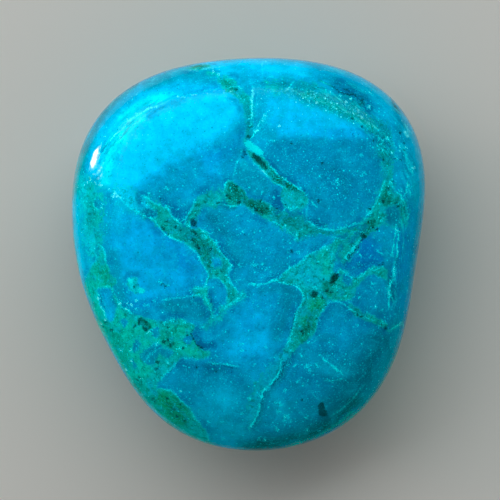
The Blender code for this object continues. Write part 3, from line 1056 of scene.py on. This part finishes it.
def marking_fields(points):
    """Every field of the markings at each point of the stone, by name, and its colours."""
    face = above(points, SHAPES_END)
    place = points[:, :2] / GRID * (1, -1) + GRID_MIDDLE
    place += WOBBLE_WIDTH * (clouds(points, WOBBLE, 2) - WOBBLE_MIDDLE)
    place += WANDER_WIDTH * (1 - face)[:, None] * (clouds(points, WANDER, 2) - WANDER_MIDDLE)

    border, cell = back_network(points)
    thick = VEIN_HALF + VEIN_SWELL * np.clip(cloud(points, *BROAD_VEINS) - BROAD_FROM, 0, 1)
    back_depth = within((thick - np.abs(border)) / GRID, FARTHEST_DEPTH)
    cover, depth = green_cover(place)
    dent = -relief(points[:, 0], points[:, 1])
    fields = {
        "cover": cover * face + within(back_depth / BACK_EDGE, FARTHEST_COVER) * (1 - face),
        "depth": depth * face + back_depth * (1 - face),
        "net_offset": within(border / GRID, LINE_REACH),
        "net_strength": (1 - face) * smooth(spread(cloud(points, *NET_STRENGTH), *NET_SPREAD)),
        "worn": smooth(spread(np.clip(dent / WORN_DEPTH, 0, 1), *WORN_SPREAD)) * face,
        "crowd": levelled(place, PLAIN_CROWD, SPARKLING),
        "streaky": levelled(place, 0.0, STREAKY) * face,
    }
    for name, found in (
        ("dark_grain", grain_depth(place, DARK_GRAINS)),
        ("light_chip", grain_depth(place, CHIPS_AND_GLINTS)),
        ("bright_chip", patch_depth(place, BRIGHT_CHIPS)),
        ("dark_patch", patch_depth(place, DARK_PATCHES)),
    ):
        fields[name] = found * face - FARTHEST_GRAIN * (1 - face)
    for name, lines in (("light", LIGHT_LINES), ("dark", DARK_LINES)):
        for number, members in enumerate(sorted_into_sets(lines, LINE_REACH)):
            offset, strength = line_fields(place, members)
            fields[f"{name}_offset_{number}"] = offset
            fields[f"{name}_strength_{number}"] = strength * face

    tone = above(points, COLOURS_END)[:, None]
    back_blue, back_green = back_colours(points, cell)
    colours = {
        "blues": painted(place, PAINTS["blue"], BLUE_PAINT) * tone + back_blue * (1 - tone),
        "greens": painted(place, PAINTS["verdigris"], GREEN_PAINT) * tone + back_green * (1 - tone),
    }
    return fields, colours


# ---------------------------------------------------------------- the stone's mesh
def stone_object():
    """The stone with its fields as attributes, and the names of the fields."""
    faces = box_faces()
    corners = np.array([corner for face in faces for corner in face])
    grid, ids = np.unique(corners, axis=0, return_inverse=True)
    points = surface_points(box_ways(grid))
    middle = (points[:, :2].max(axis=0) + points[:, :2].min(axis=0)) / 2
    fields, colours = marking_fields(points)
    points[:, :2] -= middle

    ends = np.cumsum([len(face) for face in faces])
    loops = np.split(ids.ravel(), ends[:-1])
    mesh = bpy.data.meshes.new("chrysocolla")
    mesh.from_pydata((points * MM).tolist(), [], [loop.tolist() for loop in loops])
    for name, values in fields.items():
        layer = mesh.attributes.new(name, "FLOAT", "POINT")
        layer.data.foreach_set("value", values.astype(np.float32))
    for name, values in colours.items():
        rgba = np.hstack([values, np.ones((len(values), 1))])
        layer = mesh.attributes.new(name, "FLOAT_COLOR", "POINT")
        layer.data.foreach_set("color", rgba.astype(np.float32).ravel())
    mesh.polygons.foreach_set("use_smooth", np.ones(len(mesh.polygons), bool))
    mesh.validate()
    mesh.update()
    stone = bpy.data.objects.new("chrysocolla", mesh)
    bpy.context.scene.collection.objects.link(stone)
    return stone, sorted(fields)


# ---------------------------------------------------------------- the stone's material
# Colours that the shader mixes in (sRGB).
CLOUD_TEAL = (6, 152, 176)
THREAD = (24, 204, 196)
FLECK = (9, 98, 76)
# painted shade, the darker blue just outside the green veins
HEM_SHADE = (5, 104, 148)
BORDER = (70, 228, 226)
LINE_TINTS = {"dark": (3, 50, 72), "light": (84, 240, 240)}
HAZE = (40, 208, 224)
NET_LINE = (40, 206, 206)
PALE_STREAK = (60, 226, 226)
DARK_STREAK = (4, 96, 132)
DUST = (56, 222, 238)
PORE = (3, 92, 132)
PAINTED_SPARKLE = (104, 250, 254)
SPECK = (5, 60, 84)
BRIGHT_CHIP_DEEP = (8, 190, 200)
BRIGHT_CHIP_PALE = (60, 240, 236)
CHIP_AND_GLINT = (120, 244, 246)

# Noises: (bumps per millimetre, detail, roughness, and where needed distortion)
NOISES = {
    "broad": (0.45, 4, 0.6),
    "soft": (1.1, 3, 0.55),
    "mottle": (2.0, 4, 0.68),
    "fine": (6.0, 2, 0.6),
    "grain": (13.0, 1, 0.5),
    "swell": (0.55, 2, 0.5),
    "thread": (1.5, 5, 0.66, 0.5),
    "haze": (0.50, 5, 0.62, 0.8),
}
# Noises turned into masks: (bumps per millimetre, detail, roughness, 0 at, 1 at, shift)
MASKS = {
    "teal": (0.5, 4, 0.6, 0.44, 0.62, (9.1, 4.7, 3.3)),
    "fleck": (1.9, 3, 0.60, 0.54, 0.64, None),
    "seen_through": (1.0, 4, 0.65, 0.50, 0.64, None),
    "hem": (0.6, 2, 0.5, 0.46, 0.60, None),
    "patchy": (0.9, 3, 0.6, 0.46, 0.62, None),
    "bead": (5.0, 1, 0.5, 0.50, 0.60, None),
    "beading": (1.6, 2, 0.6, 0.42, 0.58, None),
    "dust": (7.0, 1, 0.5, 0.60, 0.68, None),
    "pore": (4.5, 2, 0.5, 0.38, 0.30, (5.3, 2.1, 7.7)),
    "crumb": (8.5, 1, 0.5, 0.47, 0.58, None),
}
# Scattered dots: (cells per millimetre, radius in cells, share of the cells with a dot, shift)
SPARKLE_DOTS = ((2.4, 0.22, 0.30, None), (1.7, 0.20, 0.22, (7.7, 4.9, 2.3)))
SPECK_DOTS = (1.5, 0.12, 0.20, (3.1, 1.7, 0.9))

# Streaks along the rim: their noise as above, and each as (paint, 0 at, 1 at, strength)
RIM_RADIUS = 17.0
RIM_SQUEEZE = 0.15  # lengths along the rim count for this share, which draws the streaks out
STREAK_NOISE = (2.6, 3, 0.62)
STREAKS = ((PALE_STREAK, 0.53, 0.66, 0.42), (DARK_STREAK, 0.49, 0.37, 0.60))

# Widths to either side, in grid squares; of threads and haze, in the values of their noise.
HEM_OUT = 3.5  # how far outside the green the painted hem shade is darkest
HEM_HALF = 5.0
BORDER_HALF = 1.4
LINE_HALF = 1.3
NET_HALF = 1.0
THREAD_HALF = 0.020
HAZE_HALF = 0.016
INCLUSION_SHADE = 0.04  # what is left of the colour in a dark grain
POLISH_IOR = 1.46


class Graph:
    """Short names for the few shader nodes used; a socket or a plain number goes in anywhere."""

    def __init__(self, tree):
        self.tree = tree

    def node(self, kind, **settings):
        made = self.tree.nodes.new(kind)
        for name, value in settings.items():
            setattr(made, name, value)
        return made

    def put(self, value, socket):
        if isinstance(value, bpy.types.NodeSocket):
            self.tree.links.new(value, socket)
        else:
            socket.default_value = value

    def fed(self, made, values):
        """The first output of a node whose first inputs are given."""
        for value, socket in zip(values, made.inputs):
            self.put(value, socket)
        return made.outputs[0]

    def math(self, operation, *values, clamp=False):
        return self.fed(self.node("ShaderNodeMath", operation=operation, use_clamp=clamp), values)

    def times(self, *values, clamp=False):
        return self.math("MULTIPLY", *values, clamp=clamp)

    def plus(self, *values):
        return self.math("ADD", *values)

    def total(self, *parts):
        """The sum of values, each given with its weight; a 1 stands for a plain number."""
        (value, weight), *rest = parts
        found = self.times(value, weight)
        for value, weight in rest:
            if value == 1:
                found = self.plus(found, weight)
            else:
                found = self.math("MULTIPLY_ADD", value, weight, found)
        return found

    def ramp(self, value, low, high):
        """0 at low, 1 at high, smooth between; low may be above high."""
        made = self.node("ShaderNodeMapRange", interpolation_type="SMOOTHSTEP")
        return self.fed(made, (value, low, high, 0.0, 1.0))

    def line(self, offset, half_width):
        """1 where the offset is 0, and 0 from the half width on."""
        return self.ramp(self.math("ABSOLUTE", offset), half_width, 0.0)

    def number(self, name):
        return self.node("ShaderNodeAttribute", attribute_name=name).outputs["Fac"]

    def colour(self, name):
        return self.node("ShaderNodeAttribute", attribute_name=name).outputs["Color"]

    def mix(self, share, below, above):
        made = self.node("ShaderNodeMix", data_type="RGBA")
        self.put(share, made.inputs["Factor"])
        for value, socket in ((below, made.inputs[6]), (above, made.inputs[7])):
            self.put(value, socket)
        return made.outputs[2]

    def tinted(self, colour, paint, share):
        """The colour with a share of a plain paint mixed in."""
        return self.mix(share, colour, rgba(paint))

    def scaled(self, colour, factor):
        made = self.node("ShaderNodeVectorMath", operation="SCALE")
        self.put(factor, made.inputs["Scale"])
        return self.fed(made, (colour,))

    def shifted(self, where, by):
        if by is None:
            return where
        return self.fed(self.node("ShaderNodeVectorMath", operation="ADD"), (where, by))

    def noise(self, where, per_mm, detail, roughness, distortion=0.0):
        made = self.node("ShaderNodeTexNoise")
        for name, value in (
            ("Vector", where), ("Scale", per_mm), ("Detail", detail),
            ("Roughness", roughness), ("Distortion", distortion),
        ):  # fmt: skip
            self.put(value, made.inputs[name])
        return made.outputs["Fac"]

    def dots(self, where, per_mm, radius, share, shift):
        """Round dots at scattered places, of a radius in cell sizes, in a share of the cells."""
        made = self.node("ShaderNodeTexVoronoi")
        self.put(self.shifted(where, shift), made.inputs["Vector"])
        self.put(per_mm, made.inputs["Scale"])
        red = self.fed(self.node("ShaderNodeSeparateColor"), (made.outputs["Color"],))
        picked = self.math("LESS_THAN", red, share)
        return self.times(self.ramp(made.outputs["Distance"], radius, 0.5 * radius), picked)

    def along_rim(self, where):
        """A place as its distance from the middle and its way round the rim, squeezed."""
        parts = self.node("ShaderNodeSeparateXYZ")
        self.put(where, parts.inputs[0])
        x, y = parts.outputs[:2]
        out = self.math("SQRT", self.math("MULTIPLY_ADD", x, x, self.times(y, y)))
        turn = self.times(self.math("ARCTAN2", y, x), RIM_RADIUS * RIM_SQUEEZE)
        return self.fed(self.node("ShaderNodeCombineXYZ"), (out, turn))


def rgba(colour):
    return (*linear(colour), 1.0)


def noises_at(graph, place):
    """Every named noise and mask at a place in millimetres."""
    made = {name: graph.noise(place, *settings) for name, settings in NOISES.items()}
    for name, (per_mm, detail, roughness, low, high, shift) in MASKS.items():
        rough = graph.noise(graph.shifted(place, shift), per_mm, detail, roughness)
        made[name] = graph.ramp(rough, low, high)
    return SimpleNamespace(**made)


def blue_cells(graph, noise):
    """The blue of the cells, clouded at several sizes."""
    colour = graph.tinted(graph.colour("blues"), CLOUD_TEAL, graph.times(noise.teal, 0.34))
    coarse = ((noise.broad, 0.80), (noise.soft, 0.60), (noise.mottle, 0.45))
    clouds = graph.total(*coarse, (noise.fine, 0.42), (noise.grain, 0.20), (1, -0.235))
    return graph.scaled(colour, clouds)


def green_veins(graph, noise):
    """The green of the veins: more broken, with pale threads and olive flecks."""
    coarse = ((noise.mottle, 1.60), (noise.soft, 0.70))
    broken = graph.total(*coarse, (noise.fine, 1.00), (noise.grain, 0.25), (1, -0.775))
    colour = graph.scaled(graph.colour("greens"), broken)
    thread = graph.line(graph.math("SUBTRACT", noise.thread, 0.5), THREAD_HALF)
    colour = graph.tinted(colour, THREAD, graph.times(thread, 0.60))
    return graph.tinted(colour, FLECK, graph.times(noise.fleck, 0.55))


def vein_cover(graph, noise, ragged):
    """How far the green covers the blue, which shows through it in places."""
    edge = graph.ramp(graph.total((graph.number("cover"), 1), (ragged, 0.75)), -0.9, 0.9)
    return graph.times(edge, graph.total((noise.seen_through, -0.40), (1, 1.0)))


def with_borders(graph, noise, colour, ragged):
    """Where the blue meets a vein: painted shade as a darker hem outside, and pale beads along the
    border.
    """
    depth = graph.total((graph.number("depth"), 1), (ragged, 0.8))
    hem = graph.times(graph.line(graph.plus(depth, HEM_OUT), HEM_HALF), noise.hem)
    colour = graph.tinted(colour, HEM_SHADE, graph.times(hem, 0.60))
    border = graph.times(graph.line(depth, BORDER_HALF), noise.patchy)
    return graph.tinted(colour, BORDER, graph.times(border, graph.total((noise.bead, 0.65), (1, 0.06))))


def with_lines(graph, noise, colour, cover, field_names):
    """Fine lines, dark and pale; the hazy threads in the blue; and the lines of the network."""
    beaded = graph.total((noise.bead, 0.60), (noise.beading, 0.40), (1, 0.26))
    astray = graph.total((noise.fine, 5.0), (noise.mottle, 3.0), (1, -4.0))
    for kind, tint in LINE_TINTS.items():
        for name in field_names:
            if name.startswith(f"{kind}_offset_"):
                line = graph.line(graph.plus(graph.number(name), astray), LINE_HALF)
                share = graph.times(line, graph.number(name.replace("offset", "strength")))
                colour = graph.tinted(colour, tint, graph.times(share, beaded, clamp=True))
    haze = graph.times(graph.line(graph.math("SUBTRACT", noise.haze, 0.5), HAZE_HALF), noise.patchy)
    colour = graph.tinted(colour, HAZE, graph.times(haze, graph.total((cover, -0.45), (1, 0.45))))
    line = graph.line(graph.plus(graph.number("net_offset"), astray), NET_HALF)
    share = graph.times(line, graph.number("net_strength"))
    return graph.tinted(colour, NET_LINE, graph.times(share, beaded))


def with_streaks(graph, place, colour):
    streaks = graph.noise(graph.along_rim(place), *STREAK_NOISE)
    for paint, low, high, strength in STREAKS:
        most = graph.times(graph.number("streaky"), strength)
        colour = graph.tinted(colour, paint, graph.times(graph.ramp(streaks, low, high), most))
    return colour


def with_sparkle(graph, noise, place, colour):
    """Dust, pores, and the sparkle of tiny crystals, painted into the colour as pale glints."""
    crowd = graph.number("crowd")
    colour = graph.tinted(colour, DUST, graph.times(noise.dust, graph.total((crowd, 0.70), (1, 0.06))))
    colour = graph.tinted(colour, PORE, graph.times(noise.pore, 0.40))
    sparkle = graph.plus(*[graph.dots(place, *settings) for settings in SPARKLE_DOTS])
    share = graph.times(sparkle, graph.total((crowd, 0.95), (1, 0.10)), clamp=True)
    return graph.tinted(colour, PAINTED_SPARKLE, share)


def with_inclusions(graph, noise, colour):
    """The bright chips, the dark grains and patches, and the light chips with their painted glints; and
    where it is dark.
    """
    rough_edge = graph.total((noise.fine, 6.0), (noise.grain, 3.0), (1, -4.5))
    bright = graph.ramp(graph.plus(graph.number("bright_chip"), rough_edge), -0.8, 0.6)
    bright_colour = graph.mix(noise.fine, rgba(BRIGHT_CHIP_DEEP), rgba(BRIGHT_CHIP_PALE))
    colour = graph.mix(bright, colour, bright_colour)
    deep = graph.math("MAXIMUM", graph.number("dark_grain"), graph.number("dark_patch"))
    deep = graph.total((deep, 1), (rough_edge, 0.9), (noise.mottle, 4.0), (1, -2.0))
    dark = graph.ramp(deep, -0.4, 0.8)
    solid = graph.total((graph.ramp(noise.grain, 0.36, 0.56), -0.24), (1, 0.98))
    colour = graph.mix(graph.times(dark, solid), colour, graph.scaled(colour, INCLUSION_SHADE))
    chip = graph.ramp(graph.plus(graph.number("light_chip"), rough_edge), -0.7, 0.5)
    crumbs = graph.total((noise.crumb, 0.68), (1, 0.22))
    return graph.tinted(colour, CHIP_AND_GLINT, graph.times(chip, crumbs)), dark


def polished(graph, noise, colour, cover, dark, speck):
    """The polish over the colour: duller in the crease and on dark grains, and slightly uneven."""
    dull = ((cover, 0.07), (noise.mottle, 0.10), (dark, 0.12), (graph.number("worn"), 0.40), (1, 0.06))
    small = ((noise.mottle, 0.006), (noise.fine, 0.0012), (dark, -0.05), (speck, -0.02))
    bump = graph.node("ShaderNodeBump")
    shader = graph.node("ShaderNodeBsdfPrincipled")
    for made, name, value in (
        (bump, "Strength", 1.0),
        (bump, "Distance", MM),
        (bump, "Height", graph.total((noise.swell, 0.030), *small)),
        (shader, "IOR", POLISH_IOR),
        (shader, "Base Color", colour),
        (shader, "Roughness", graph.total(*dull)),
        (shader, "Normal", bump.outputs["Normal"]),
    ):
        graph.put(value, made.inputs[name])
    return shader.outputs[0]


def stone_material(field_names):
    material = bpy.data.materials.new("polished chrysocolla")
    material.use_nodes = True
    material.node_tree.nodes.clear()
    graph = Graph(material.node_tree)
    place = graph.scaled(graph.node("ShaderNodeTexCoord").outputs["Object"], 1 / MM)
    noise = noises_at(graph, place)
    ragged = graph.total((noise.mottle, 9.0), (noise.fine, 6.0), (noise.grain, 1.6), (1, -8.3))
    cover = vein_cover(graph, noise, ragged)
    colour = graph.mix(cover, blue_cells(graph, noise), green_veins(graph, noise))
    colour = with_borders(graph, noise, colour, ragged)
    colour = with_lines(graph, noise, colour, cover, field_names)
    colour = with_streaks(graph, place, colour)
    colour = with_sparkle(graph, noise, place, colour)
    speck = graph.dots(place, *SPECK_DOTS)
    colour = graph.tinted(colour, SPECK, graph.times(speck, 0.70))
    colour, dark = with_inclusions(graph, noise, colour)
    surface = polished(graph, noise, colour, cover, dark, speck)
    graph.put(surface, graph.node("ShaderNodeOutputMaterial").inputs["Surface"])
    return material


# ---------------------------------------------------------------- the studio
CAMERA_RISE = 1200.0  # millimetres above the widest section
FRAME_WIDTH = 50.0  # what the picture is wide there
FRAME_MIDDLE = (0.15, 0.42)
SENSOR = 36.0
FARTHEST_SEEN = 10.0  # in metres

# The panels' places and sizes are in metres, their directions in degrees.
SKY_AZIMUTH = 115.0
SKY_HEIGHT = 0.55
SKY_NEAR_ZENITH = 22.5  # the panel's near edge, which shows as the lower edge of the bright zones
SKY_LENGTH = 1.15
SKY_WIDTH = 2.6
SKY_ASIDE = 0.55
SKY_RADIANCE = 2.9
SKY_COLOUR = (0.42, 0.88, 1.0)
GLINT_AZIMUTH = 163.6
GLINT_ZENITH = 86.1
GLINT_REACH = 0.45
GLINT_SIZE = (0.063, 0.056)
GLINT_RADIANCE = 60.0
GLINT_COLOUR = (1.0, 1.0, 0.98)

FLOOR_HALF = 3.0
FLOOR_DROP = 0.00002  # keeps the floor just clear of the flat spot
FLOOR_LOOKS = {
    "Base Color": (0.84, 0.47, 0.40, 1),
    "Roughness": 0.9,
    "Specular IOR Level": 0.1,
}

ROOM_COLOUR = (0.76, 0.93, 1.0, 1)
ROOM_DIM = 0.04  # overhead, so that the polished face stays deep in colour
ROOM_BRIGHTER = 0.66  # how much more it is towards the horizon
ROOM_FROM, ROOM_TO = 0.90, 0.45  # upward parts of the directions between which it changes
RED_BLACK_LEVEL = 0.06


def studio_camera():
    data = bpy.data.cameras.new("camera")
    data.sensor_width = SENSOR
    data.lens = SENSOR * CAMERA_RISE / FRAME_WIDTH
    data.clip_end = FARTHEST_SEEN
    camera = bpy.data.objects.new("camera", data)
    camera.location = Vector((*FRAME_MIDDLE, GIRTH_HEIGHT + CAMERA_RISE)) * MM
    bpy.context.scene.collection.objects.link(camera)
    bpy.context.scene.camera = camera


def light_panel(name, place, size, radiance, colour, turn=None):
    """An area light facing the stone, or straight down where its turn is given."""
    data = bpy.data.lights.new(name, "AREA")
    data.shape = "RECTANGLE"
    data.size, data.size_y = size
    data.energy = radiance * math.pi * size[0] * size[1]
    data.color = colour
    light = bpy.data.objects.new(name, data)
    if turn is None:
        facing = place.to_track_quat("Z", "Y").to_matrix().to_4x4()
    else:
        facing = Matrix.Rotation(turn, 4, "Z")
    light.matrix_world = Matrix.Translation(place) @ facing
    light.visible_camera = False
    bpy.context.scene.collection.objects.link(light)


def out_from_middle(azimuth, reach, height):
    side = math.radians(azimuth)
    return Vector((reach * math.cos(side), reach * math.sin(side), height))


def lights():
    near = SKY_HEIGHT * math.tan(math.radians(SKY_NEAR_ZENITH))
    ahead = out_from_middle(SKY_AZIMUTH, near + SKY_LENGTH / 2, SKY_HEIGHT)
    aside = out_from_middle(SKY_AZIMUTH - 90, SKY_ASIDE, 0)
    size, turn = (SKY_LENGTH, SKY_WIDTH), math.radians(SKY_AZIMUTH)
    light_panel("sky panel", ahead + aside, size, SKY_RADIANCE, SKY_COLOUR, turn)
    drop = math.radians(GLINT_ZENITH)
    place = out_from_middle(GLINT_AZIMUTH, GLINT_REACH * math.sin(drop), GLINT_REACH * math.cos(drop))
    light_panel("glint panel", place, GLINT_SIZE, GLINT_RADIANCE, GLINT_COLOUR)


def floor_object():
    mesh = bpy.data.meshes.new("floor")
    corners = [(x * FLOOR_HALF, y * FLOOR_HALF, 0) for x, y in ((-1, -1), (1, -1), (1, 1), (-1, 1))]
    mesh.from_pydata(corners, [], [(0, 1, 2, 3)])
    floor = bpy.data.objects.new("floor", mesh)
    floor.location.z = -FLOOR_DROP
    bpy.context.scene.collection.objects.link(floor)
    material = bpy.data.materials.new("pale floor")
    material.use_nodes = True
    shader = material.node_tree.nodes["Principled BSDF"]
    for name, value in FLOOR_LOOKS.items():
        shader.inputs[name].default_value = value
    mesh.materials.append(material)


def world_light():
    """Soft light from all round, dim overhead."""
    world = bpy.data.worlds.new("studio")
    world.use_nodes = True
    graph = Graph(world.node_tree)
    parts = graph.node("ShaderNodeSeparateXYZ")
    graph.put(graph.node("ShaderNodeTexCoord").outputs["Generated"], parts.inputs[0])
    low = graph.ramp(parts.outputs["Z"], ROOM_FROM, ROOM_TO)
    background = world.node_tree.nodes["Background"]
    graph.put(ROOM_COLOUR, background.inputs["Color"])
    graph.put(graph.math("MULTIPLY_ADD", low, ROOM_BRIGHTER, ROOM_DIM), background.inputs["Strength"])
    bpy.context.scene.world = world


def studio():
    view = bpy.context.scene.view_settings
    view.view_transform = "Standard"
    view.use_curve_mapping = True
    view.curve_mapping.black_level = (RED_BLACK_LEVEL, 0.0, 0.0)
    view.curve_mapping.update()
    world_light()
    lights()
    studio_camera()
    floor_object()


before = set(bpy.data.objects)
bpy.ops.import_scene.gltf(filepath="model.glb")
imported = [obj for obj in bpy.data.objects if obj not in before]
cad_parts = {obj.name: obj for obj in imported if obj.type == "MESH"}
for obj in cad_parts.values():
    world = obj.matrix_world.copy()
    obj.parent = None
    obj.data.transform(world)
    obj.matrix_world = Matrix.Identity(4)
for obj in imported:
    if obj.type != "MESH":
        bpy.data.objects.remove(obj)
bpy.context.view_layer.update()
stone, names = stone_object()
stone.data.materials.append(stone_material(names))
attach(stone, "root")
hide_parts("chrysocolla_stone")
studio()
